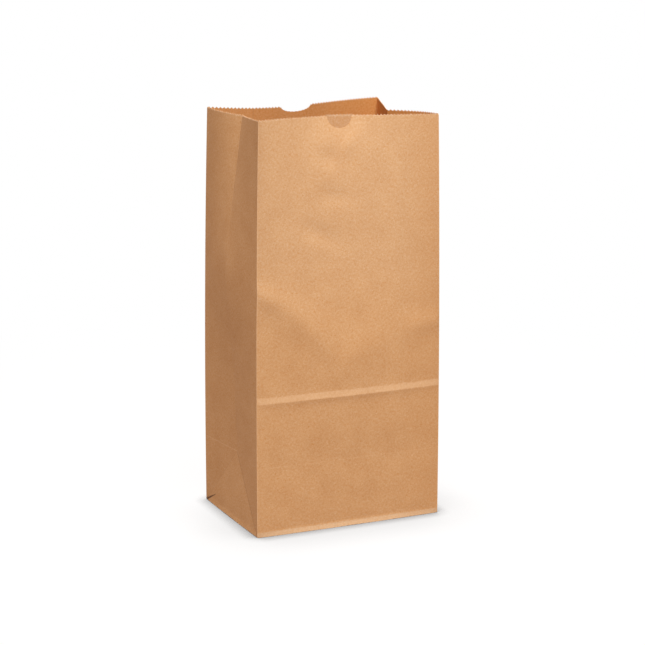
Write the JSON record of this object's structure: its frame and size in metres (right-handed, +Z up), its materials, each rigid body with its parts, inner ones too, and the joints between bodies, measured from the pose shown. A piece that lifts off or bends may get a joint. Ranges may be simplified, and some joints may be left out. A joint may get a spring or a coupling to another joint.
{
  "type": "paper grocery bag",
  "caption": "Brown kraft paper bag with gusseted sides and a folded flat base, standing open, with a saw-cut mouth and thumb cuts.",
  "frame": {"origin": "middle of the base, on the flat underside of the outermost base flap", "axes": "+X along the width to the right as seen from the front, +Y from the front panel to the back panel, +Z up to the mouth"},
  "size_m": [0.2077, 0.1453, 0.414],
  "materials": {
    "kraft_paper": "uncoated brown kraft, matt with a faint machine-glazed sheen"
  },
  "bodies": {
    "root": {"paper_bag": "kraft_paper"}
  },
  "joints": []
}
